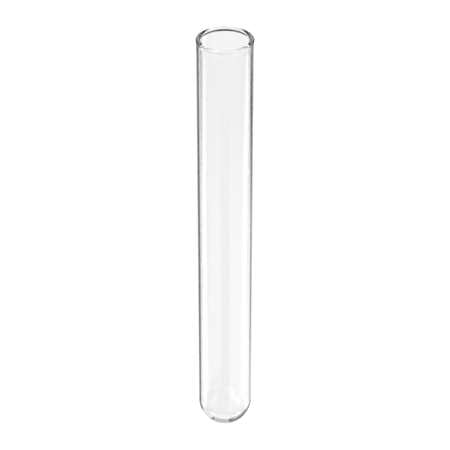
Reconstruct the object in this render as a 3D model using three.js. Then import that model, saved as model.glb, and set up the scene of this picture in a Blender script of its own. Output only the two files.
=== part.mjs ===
// Laboratory test tube, nominal 18 x 150 mm: one piece of flame-worked borosilicate glass.
// Millimetres, +Z up. The origin is the lowest point of the round bottom, on the tube's axis.

import * as THREE from "three";

// Driving dimensions.
const OUTER_DIAMETER = 18.2; // as drawn, within the tolerance of the nominal 18
const LENGTH = 149; // as cut and melted back, within the tolerance of the nominal 150
const WALL = 1.05;
const BOTTOM_WALL = 1.8; // at the lowest point, where the closed end has gathered more glass
const SWELL_OUT = 0.1; // how far the fire-polished rim stands out from the drawn wall
const SWELL_IN = 0.35; // and how far it stands into the bore
const RIM_HEIGHT = 1.5; // height of the swollen rim
const EDGE_WIDTH = 0.55; // rounding on each side of the rim's narrow flat crest, across the wall
const EDGE_HEIGHT = 0.45; // and along the tube

// Facets.
const SEGMENTS = 72; // round the axis
const BOTTOM_STEPS = 12;
const SWELL_STEPS = 3;
const EDGE_STEPS = 4;
const STRAIGHT = 1;

const QUARTER_TURN = Math.PI / 2;
const outerRadius = OUTER_DIAMETER / 2;
const boreRadius = outerRadius - WALL;
const equator = outerRadius; // height where the round bottom meets the straight wall

// The outline lies in a plane through the axis: x is the radius, y the height.

// A straight stretch of the outline.
function line(x1, y1, x2, y2) {
  return new THREE.LineCurve(new THREE.Vector2(x1, y1), new THREE.Vector2(x2, y2));
}

// A smooth S between two radii, parallel to the wall at both ends.
function swell(x1, y1, x2, y2) {
  const middle = (y1 + y2) / 2;
  return new THREE.CubicBezierCurve(
    new THREE.Vector2(x1, y1),
    new THREE.Vector2(x1, middle),
    new THREE.Vector2(x2, middle),
    new THREE.Vector2(x2, y2),
  );
}

// A quarter of an ellipse about the point x, y, turning one way or the other from an angle.
function quarter(x, y, halfWidth, halfHeight, from, clockwise) {
  const to = clockwise ? from - QUARTER_TURN : from + QUARTER_TURN;
  return new THREE.EllipseCurve(x, y, halfWidth, halfHeight, from, to, clockwise);
}

// From the lowest point up the outside, over the rim, down the bore and back to the axis.
function glassOutline() {
  const rimOuter = outerRadius + SWELL_OUT;
  const rimBore = boreRadius - SWELL_IN;
  const crestOuter = rimOuter - EDGE_WIDTH;
  const crestInner = rimBore + EDGE_WIDTH;
  const edgeStart = LENGTH - EDGE_HEIGHT;
  const swellStart = LENGTH - RIM_HEIGHT;
  const stretches = [
    [quarter(0, equator, outerRadius, outerRadius, -QUARTER_TURN, false), BOTTOM_STEPS],
    [line(outerRadius, equator, outerRadius, swellStart), STRAIGHT],
    [swell(outerRadius, swellStart, rimOuter, edgeStart), SWELL_STEPS],
    [quarter(crestOuter, edgeStart, EDGE_WIDTH, EDGE_HEIGHT, 0, false), EDGE_STEPS],
    [line(crestOuter, LENGTH, crestInner, LENGTH), STRAIGHT],
    [quarter(crestInner, edgeStart, EDGE_WIDTH, EDGE_HEIGHT, QUARTER_TURN, false), EDGE_STEPS],
    [swell(rimBore, edgeStart, boreRadius, swellStart), SWELL_STEPS],
    [line(boreRadius, swellStart, boreRadius, equator), STRAIGHT],
    [quarter(0, equator, boreRadius, equator - BOTTOM_WALL, 0, true), BOTTOM_STEPS],
  ];
  // Each stretch starts where the last one ended, so its first point is left out.
  return stretches.flatMap(([curve, steps], index) => curve.getPoints(steps).slice(index ? 1 : 0));
}

function glassTube() {
  const geometry = new THREE.LatheGeometry(glassOutline(), SEGMENTS);
  geometry.rotateX(QUARTER_TURN); // the lathe turns about Y, and the tube stands along Z
  const glass = new THREE.MeshStandardMaterial({
    color: 0xf2f2f2,
    roughness: 0.03,
    metalness: 0,
    transparent: true,
    opacity: 0.35,
  });
  const mesh = new THREE.Mesh(geometry, glass);
  mesh.name = "glass_tube";
  return mesh;
}

const testTube = new THREE.Group();
testTube.name = "test_tube";
testTube.add(glassTube());

export default testTube;
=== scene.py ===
"""Looks of a laboratory test tube: clear flame-worked glass in a soft white studio.

Metres, +Z up. The tube stands on the lowest point of its round bottom, at the origin.
"""

import math

import bmesh
import bpy
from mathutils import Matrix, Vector


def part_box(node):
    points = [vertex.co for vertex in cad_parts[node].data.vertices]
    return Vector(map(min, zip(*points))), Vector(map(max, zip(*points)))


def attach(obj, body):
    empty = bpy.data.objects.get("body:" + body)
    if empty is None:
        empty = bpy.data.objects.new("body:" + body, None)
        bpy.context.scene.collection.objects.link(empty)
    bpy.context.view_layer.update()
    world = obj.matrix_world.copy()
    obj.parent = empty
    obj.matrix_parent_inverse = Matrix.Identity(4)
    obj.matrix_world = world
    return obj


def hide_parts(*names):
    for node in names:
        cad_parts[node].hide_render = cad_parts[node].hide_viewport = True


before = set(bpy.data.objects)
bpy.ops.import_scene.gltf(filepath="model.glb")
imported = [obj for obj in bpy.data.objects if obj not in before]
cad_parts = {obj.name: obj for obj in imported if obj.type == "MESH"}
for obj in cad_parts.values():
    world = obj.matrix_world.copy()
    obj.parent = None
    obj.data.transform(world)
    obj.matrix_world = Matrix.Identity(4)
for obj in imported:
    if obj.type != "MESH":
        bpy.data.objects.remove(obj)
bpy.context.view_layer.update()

# ---------------------------------------------------------------- sizes

MM = 0.001
low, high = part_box("glass_tube")
LENGTH = high.z - low.z
RIM_RADIUS = (high.x - low.x) / 2
WALL = 1.05 * MM
BOTTOM_WALL = 1.8 * MM  # at the lowest point
RIM_HEIGHT = 1.5 * MM  # height of the bead that fire-polishing leaves at the mouth
CREST_HEIGHT = 0.45 * MM  # height of the bead's rounded top
SWELL_OUT = 0.1 * MM  # how far the bead stands out from the wall
SWELL_IN = 0.35 * MM  # and how far it stands into the bore

OUTER_RADIUS = RIM_RADIUS - SWELL_OUT
BORE_RADIUS = OUTER_RADIUS - WALL
RIM_BORE = BORE_RADIUS - SWELL_IN

AROUND = 256  # segments round the axis
BOTTOM_STEPS = 40  # steps along each stretch of the outline
WALL_STEPS = 60
RIM_STEPS = 16
CREST_STEPS = 40

# ---------------------------------------------------------------- the glass


def smooth(t):
    """0 to 1 with level ends."""
    return t * t * (3 - 2 * t)


def outline():
    """(radius, height) points: up the outside, over the rim, down the bore to the axis."""
    rim_start = LENGTH - RIM_HEIGHT
    edge = LENGTH - CREST_HEIGHT
    half_crest = (RIM_RADIUS - RIM_BORE) / 2
    inner_depth = OUTER_RADIUS - BOTTOM_WALL

    points = []
    for i in range(BOTTOM_STEPS + 1):
        angle = math.pi / 2 * i / BOTTOM_STEPS
        points.append((OUTER_RADIUS * math.sin(angle), OUTER_RADIUS * (1 - math.cos(angle))))
    for i in range(1, WALL_STEPS + 1):
        points.append((OUTER_RADIUS, OUTER_RADIUS + (rim_start - OUTER_RADIUS) * i / WALL_STEPS))
    for i in range(1, RIM_STEPS + 1):
        t = i / RIM_STEPS
        radius = OUTER_RADIUS + (RIM_RADIUS - OUTER_RADIUS) * smooth(t)
        points.append((radius, rim_start + (edge - rim_start) * t))
    for i in range(1, CREST_STEPS + 1):
        angle = math.pi * i / CREST_STEPS
        radius = RIM_BORE + half_crest + half_crest * math.cos(angle)
        points.append((radius, edge + CREST_HEIGHT * math.sin(angle)))
    for i in range(1, RIM_STEPS + 1):
        t = i / RIM_STEPS
        radius = RIM_BORE + (BORE_RADIUS - RIM_BORE) * smooth(t)
        points.append((radius, edge + (rim_start - edge) * t))
    for i in range(1, WALL_STEPS + 1):
        points.append((BORE_RADIUS, rim_start + (OUTER_RADIUS - rim_start) * i / WALL_STEPS))
    for i in range(1, BOTTOM_STEPS + 1):
        angle = math.pi / 2 * i / BOTTOM_STEPS
        points.append((BORE_RADIUS * math.cos(angle), OUTER_RADIUS - inner_depth * math.sin(angle)))
    return points


def glass_mesh():
    """The outline turned about the axis, smooth shaded."""
    points = outline()
    bm = bmesh.new()
    foot = bm.verts.new((0, 0, points[0][1]))
    foot_inside = bm.verts.new((0, 0, points[-1][1]))
    turns = [2 * math.pi * k / AROUND for k in range(AROUND)]
    rings = []
    for radius, height in points[1:-1]:
        corners = [(radius * math.cos(turn), radius * math.sin(turn), height) for turn in turns]
        rings.append([bm.verts.new(corner) for corner in corners])
    for k in range(AROUND):
        after = (k + 1) % AROUND
        bm.faces.new((foot, rings[0][after], rings[0][k]))
        for lower, upper in zip(rings, rings[1:]):
            bm.faces.new((lower[k], lower[after], upper[after], upper[k]))
        bm.faces.new((rings[-1][k], rings[-1][after], foot_inside))
    for face in bm.faces:
        face.smooth = True
    mesh = bpy.data.meshes.new("glass")
    bm.to_mesh(mesh)
    bm.free()
    return mesh


# ---------------------------------------------------------------- materials

GLASS_IOR = 1.47
GLASS_DENSITY = 2.6  # absorption per metre of glass
DRAW_LINES = 900  # noise scale across the lengthwise waves of drawn tubing
DRAW_STRETCH = 0.03  # scale along the tube, so the waves run lengthwise
DRAW_DETAIL = 2.0
DRAW_DEPTH = 0.0001 * MM
HANDLING_MARKS = 120  # noise scale of the duller patches
HANDLING_DETAIL = 3.0
MOST_ROUGH = 0.02
PAPER_WHITE = 1.05  # what the camera sees directly behind and under the tube


def new_material(name):
    """A material with its nodes and a function that links them."""
    material = bpy.data.materials.new(name)
    material.use_nodes = True
    return material, material.node_tree.nodes, material.node_tree.links.new


def glass_material():
    """Colourless glass, with the faint lengthwise waves of drawn tubing and slightly duller patches."""
    material, nodes, link = new_material("clear_glass")
    shader = nodes["Principled BSDF"]
    shader.inputs["Base Color"].default_value = (1, 1, 1, 1)
    shader.inputs["IOR"].default_value = GLASS_IOR
    shader.inputs["Transmission Weight"].default_value = 1.0

    place = nodes.new("ShaderNodeTexCoord")
    stretch = nodes.new("ShaderNodeMapping")
    stretch.inputs["Scale"].default_value = (1, 1, DRAW_STRETCH)
    link(place.outputs["Object"], stretch.inputs["Vector"])
    waves = nodes.new("ShaderNodeTexNoise")
    waves.inputs["Scale"].default_value = DRAW_LINES
    waves.inputs["Detail"].default_value = DRAW_DETAIL
    link(stretch.outputs["Vector"], waves.inputs["Vector"])
    bump = nodes.new("ShaderNodeBump")
    bump.inputs["Distance"].default_value = DRAW_DEPTH
    link(waves.outputs[0], bump.inputs["Height"])
    link(bump.outputs["Normal"], shader.inputs["Normal"])

    marks = nodes.new("ShaderNodeTexNoise")
    marks.inputs["Scale"].default_value = HANDLING_MARKS
    marks.inputs["Detail"].default_value = HANDLING_DETAIL
    link(place.outputs["Object"], marks.inputs["Vector"])
    polish = nodes.new("ShaderNodeMapRange")
    polish.inputs["To Max"].default_value = MOST_ROUGH
    link(marks.outputs[0], polish.inputs["Value"])
    link(polish.outputs["Result"], shader.inputs["Roughness"])

    absorption = nodes.new("ShaderNodeVolumeAbsorption")
    absorption.inputs["Color"].default_value = (0, 0, 0, 1)
    absorption.inputs["Density"].default_value = GLASS_DENSITY
    link(absorption.outputs[0], nodes["Material Output"].inputs["Volume"])
    return material


def white_material():
    """Evenly lit white paper."""
    material, nodes, link = new_material("floor_white")
    glow = nodes.new("ShaderNodeEmission")
    glow.inputs["Strength"].default_value = PAPER_WHITE
    link(glow.outputs[0], nodes["Material Output"].inputs["Surface"])
    return material


def black_material():
    """Black card without any shine."""
    material, nodes, _ = new_material("card_black")
    shader = nodes["Principled BSDF"]
    shader.inputs["Base Color"].default_value = (0, 0, 0, 1)
    shader.inputs["Specular IOR Level"].default_value = 0
    return material


def add_object(name, mesh, material):
    """Put a mesh in the scene, in one material."""
    made = bpy.data.objects.new(name, mesh)
    bpy.context.scene.collection.objects.link(made)
    mesh.materials.append(material)
    return made


tube = add_object("glass_tube_body", glass_mesh(), glass_material())
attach(tube, "root")
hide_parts("glass_tube")

# ---------------------------------------------------------------- camera

CAMERA_DISTANCE = 0.5203  # from the tube's axis, level
CAMERA_HEIGHT = 0.4043
CAMERA_AIM = 0.0805  # height where the line of sight crosses the axis
LENS = 147.9  # mm
SENSOR_WIDTH = 36  # mm
CLIP_START = 0.01

camera_data = bpy.data.cameras.new("camera")
camera_data.lens = LENS
camera_data.sensor_width = SENSOR_WIDTH
camera_data.clip_start = CLIP_START
camera = bpy.data.objects.new("camera", camera_data)
bpy.context.scene.collection.objects.link(camera)
camera.location = (0, -CAMERA_DISTANCE, CAMERA_HEIGHT)
sight = Vector((0, 0, CAMERA_AIM)) - camera.location
camera.rotation_euler = sight.to_track_quat("-Z", "Y").to_euler()
bpy.context.scene.camera = camera

# ---------------------------------------------------------------- studio
#
# Soft-edged lamps, white cards and black flags a long way off, each laid over the ones before it.
# Azimuth is in degrees from straight behind the tube, positive to the left of the view from the front.
# Elevation is in degrees above the horizon.

ROOM = 0.5  # brightness wherever no panel reaches
ALL_ROUND = 180  # the half width of a panel that goes the whole way round
SOFT_SIDES = 4  # half the width in degrees over which a panel's sides fade
SOFT_ENDS = 3  # and its bottom and top

# name: brightness, azimuth, half width, bottom, top
PANELS = {
    "under the tube": (1.2, 0, ALL_ROUND, -95, -75),
    "low room": (0.9, 0, ALL_ROUND, -75, -45),
    "low lamp, left": (2.0, 90, 20, -75, -55),
    "low lamp, right": (3.0, -90, 20, -75, -50),
    "wall, left": (1.0, 65, 35, -45, -35),
    "lamp, left": (3.0, 70, 10, -40, -29),
    "wall, right": (1.3, -75, 25, -45, -35),
    "lamp, right": (2.0, -65, 15, -40, -25),
    "card in front": (1.3, -125, 35, -40, -30),
    "room at the tube's level": (0.25, 0, ALL_ROUND, -25, 10),
    "level wall, left": (1.2, 130, 50, -25, 5),
    "level flag, left": (0.1, 120, 10, -15, 10),
    "level card, left": (0.9, 90, 12, -15, 5),
    "front flag, left": (0.2, -160, 6, -25, 0),
    "front flag, right": (0.2, -110, 6, -25, 0),
    "front card": (0.9, -135, 12, -25, -5),
    "upper room": (0.7, 0, ALL_ROUND, 10, 30),
    "upper lamp, left": (1.7, 115, 35, 10, 35),
    "window": (3.5, 140, 8, 10, 25),
    "upper lamp, right": (1.7, -105, 35, 10, 30),
    "ceiling": (0.1, 0, ALL_ROUND, 32, 55),
    "ceiling card, right": (0.85, -90, 35, 32, 55),
    "dark behind": (0.1, 0, 65, -20, 35),
    "side card, left": (0.9, 48, 5, -35, -15),
    "ceiling card behind": (0.5, -15, 30, 30, 45),
    "flag, left": (0.0, 25, 13, -48, -22),
    "flag, right": (0.0, -35, 14, -36, -26),
    "narrow lamp, left": (2.4, 59, 3, -40, -22),
    "side card, right": (0.9, -42, 8, -50, -30),
    "foot card, left": (0.7, 30, 15, -65, -45),
    "foot flag, right": (0.35, -30, 10, -60, -50),
    "backdrop": (0.94, 0, 16, -55, -18),
    "backdrop above": (0.86, -5, 16, -18, 7),
}

world = bpy.data.worlds.new("studio")
bpy.context.scene.world = world
world.use_nodes = True
tree = world.node_tree
tree.nodes.clear()


def feed(socket, value):
    """Link a socket, or set a number."""
    if isinstance(value, bpy.types.NodeSocket):
        tree.links.new(value, socket)
    else:
        socket.default_value = value


def math_node(operation, *operands):
    """The result of one sum on sockets and numbers."""
    made = tree.nodes.new("ShaderNodeMath")
    made.operation = operation
    for socket, operand in zip(made.inputs, operands):
        feed(socket, operand)
    return made.outputs[0]


def mixed(weight, under, over):
    """One value where the weight is 0 and the other where it is 1."""
    mix = tree.nodes.new("ShaderNodeMix")
    mix.data_type = "FLOAT"
    factor, _, first, second = mix.inputs[:4]  # the one left out is the factor for vectors
    feed(factor, weight)
    feed(first, under)
    feed(second, over)
    return mix.outputs[0]


def fade(value, start, end):
    """0 to 1 as an angle goes from start to end, in degrees, in either direction."""
    made = tree.nodes.new("ShaderNodeMapRange")
    made.interpolation_type = "SMOOTHSTEP"
    tree.links.new(value, made.inputs["Value"])
    made.inputs["From Min"].default_value = math.radians(start)
    made.inputs["From Max"].default_value = math.radians(end)
    return made.outputs["Result"]


def panel(under, brightness, towards, half_width, bottom, top):
    """The light so far with one more panel over it."""
    weight = math_node("MULTIPLY",
                       fade(elevation, bottom - SOFT_ENDS, bottom + SOFT_ENDS),
                       fade(elevation, top + SOFT_ENDS, top - SOFT_ENDS))
    if half_width < ALL_ROUND:
        turn = math_node("SUBTRACT", azimuth, math.radians(towards))
        away = math_node("ARCCOSINE", math_node("COSINE", turn))  # the shorter way round
        sides = fade(away, half_width + SOFT_SIDES, half_width - SOFT_SIDES)
        weight = math_node("MULTIPLY", weight, sides)
    return mixed(weight, under, brightness)


split = tree.nodes.new("ShaderNodeSeparateXYZ")
tree.links.new(tree.nodes.new("ShaderNodeTexCoord").outputs["Generated"], split.inputs[0])
x, y, z = split.outputs
azimuth = math_node("ARCTAN2", math_node("MULTIPLY", x, -1.0), y)
elevation = math_node("ARCSINE", z)
light = ROOM
for settings in PANELS.values():
    light = panel(light, *settings)
seen = tree.nodes.new("ShaderNodeLightPath").outputs["Is Camera Ray"]
background = tree.nodes.new("ShaderNodeBackground")
background.inputs["Color"].default_value = (1, 1, 1, 1)
feed(background.inputs["Strength"], mixed(seen, light, PAPER_WHITE))
output = tree.nodes.new("ShaderNodeOutputWorld")
tree.links.new(background.outputs[0], output.inputs[0])

# ---------------------------------------------------------------- a card behind the rim
#
# A low black collar stands behind the mouth and gives the far edge its dark line.

CARD_RADIUS = 12.5 * MM
CARD_BOTTOM = LENGTH - 2.2 * MM
CARD_TOP = LENGTH - 0.6 * MM
CARD_SPAN = math.radians(45)  # to each side of straight behind
CARD_STEPS = 16


def card_mesh():
    """An upright strip, bent round the tube's axis."""
    points = []
    for i in range(CARD_STEPS + 1):
        turn = CARD_SPAN * (2 * i / CARD_STEPS - 1)
        for height in (CARD_BOTTOM, CARD_TOP):
            points.append((CARD_RADIUS * math.sin(turn), CARD_RADIUS * math.cos(turn), height))
    faces = [(2 * i, 2 * i + 2, 2 * i + 3, 2 * i + 1) for i in range(CARD_STEPS)]
    mesh = bpy.data.meshes.new("card")
    mesh.from_pydata(points, [], faces)
    return mesh


card = add_object("card", card_mesh(), black_material())
card.visible_camera = False

# ---------------------------------------------------------------- floor

FLOOR_HALF = 0.6  # half the side of the square
FLOOR_DROP = 0.2 * MM  # keeps the floor just clear of the glass


def floor_mesh():
    """One level square, centred under the tube."""
    sides = [(-1, -1), (1, -1), (1, 1), (-1, 1)]
    corners = [(x_side * FLOOR_HALF, y_side * FLOOR_HALF, -FLOOR_DROP) for x_side, y_side in sides]
    mesh = bpy.data.meshes.new("floor")
    mesh.from_pydata(corners, [], [(0, 1, 2, 3)])
    return mesh


floor = add_object("floor", floor_mesh(), white_material())
floor.visible_diffuse = False
floor.visible_glossy = False
floor.visible_transmission = False
floor.visible_shadow = False

# ---------------------------------------------------------------- light through many surfaces

MOST_BOUNCES = 200  # rays in the rim turn many times before they leave

scene = bpy.context.scene
scene.view_settings.view_transform = "Standard"
scene.cycles.max_bounces = MOST_BOUNCES
scene.cycles.transmission_bounces = MOST_BOUNCES
scene.cycles.glossy_bounces = MOST_BOUNCES
scene.cycles.volume_bounces = MOST_BOUNCES
